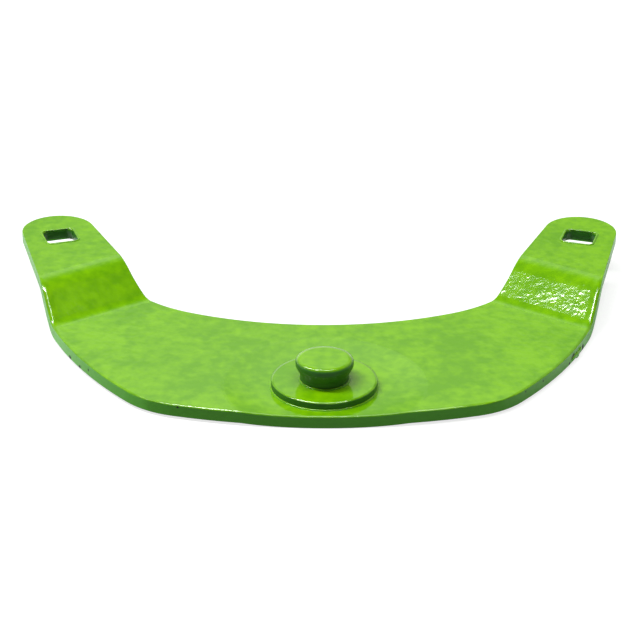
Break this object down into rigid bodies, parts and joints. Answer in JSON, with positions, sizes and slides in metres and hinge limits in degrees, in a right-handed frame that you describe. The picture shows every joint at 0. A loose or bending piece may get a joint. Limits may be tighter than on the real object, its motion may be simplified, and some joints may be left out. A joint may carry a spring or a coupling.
{
  "type": "mower blade holder",
  "caption": "Crescent spring-steel blade holder for a drum mower, with raised bolt ears and a headed pin through a washer that holds a swinging blade.",
  "frame": {"origin": "where the blade pin's axis meets the upper face of the washer, which the blade lies on", "axes": "+Z along the blade pin, out of its head; +Y from the pin towards the ears and the drum axis; +X to the right seen from the front edge"},
  "size_m": [0.211, 0.133, 0.0148],
  "materials": {
    "plate_paint": "gloss green enamel with orange peel, small chips on the edges",
    "washer_paint": "gloss green enamel",
    "pin_paint": "gloss green enamel"
  },
  "bodies": {
    "root": {"spring_plate": "plate_paint", "support_washer": "washer_paint", "blade_pin": "pin_paint"}
  },
  "joints": []
}
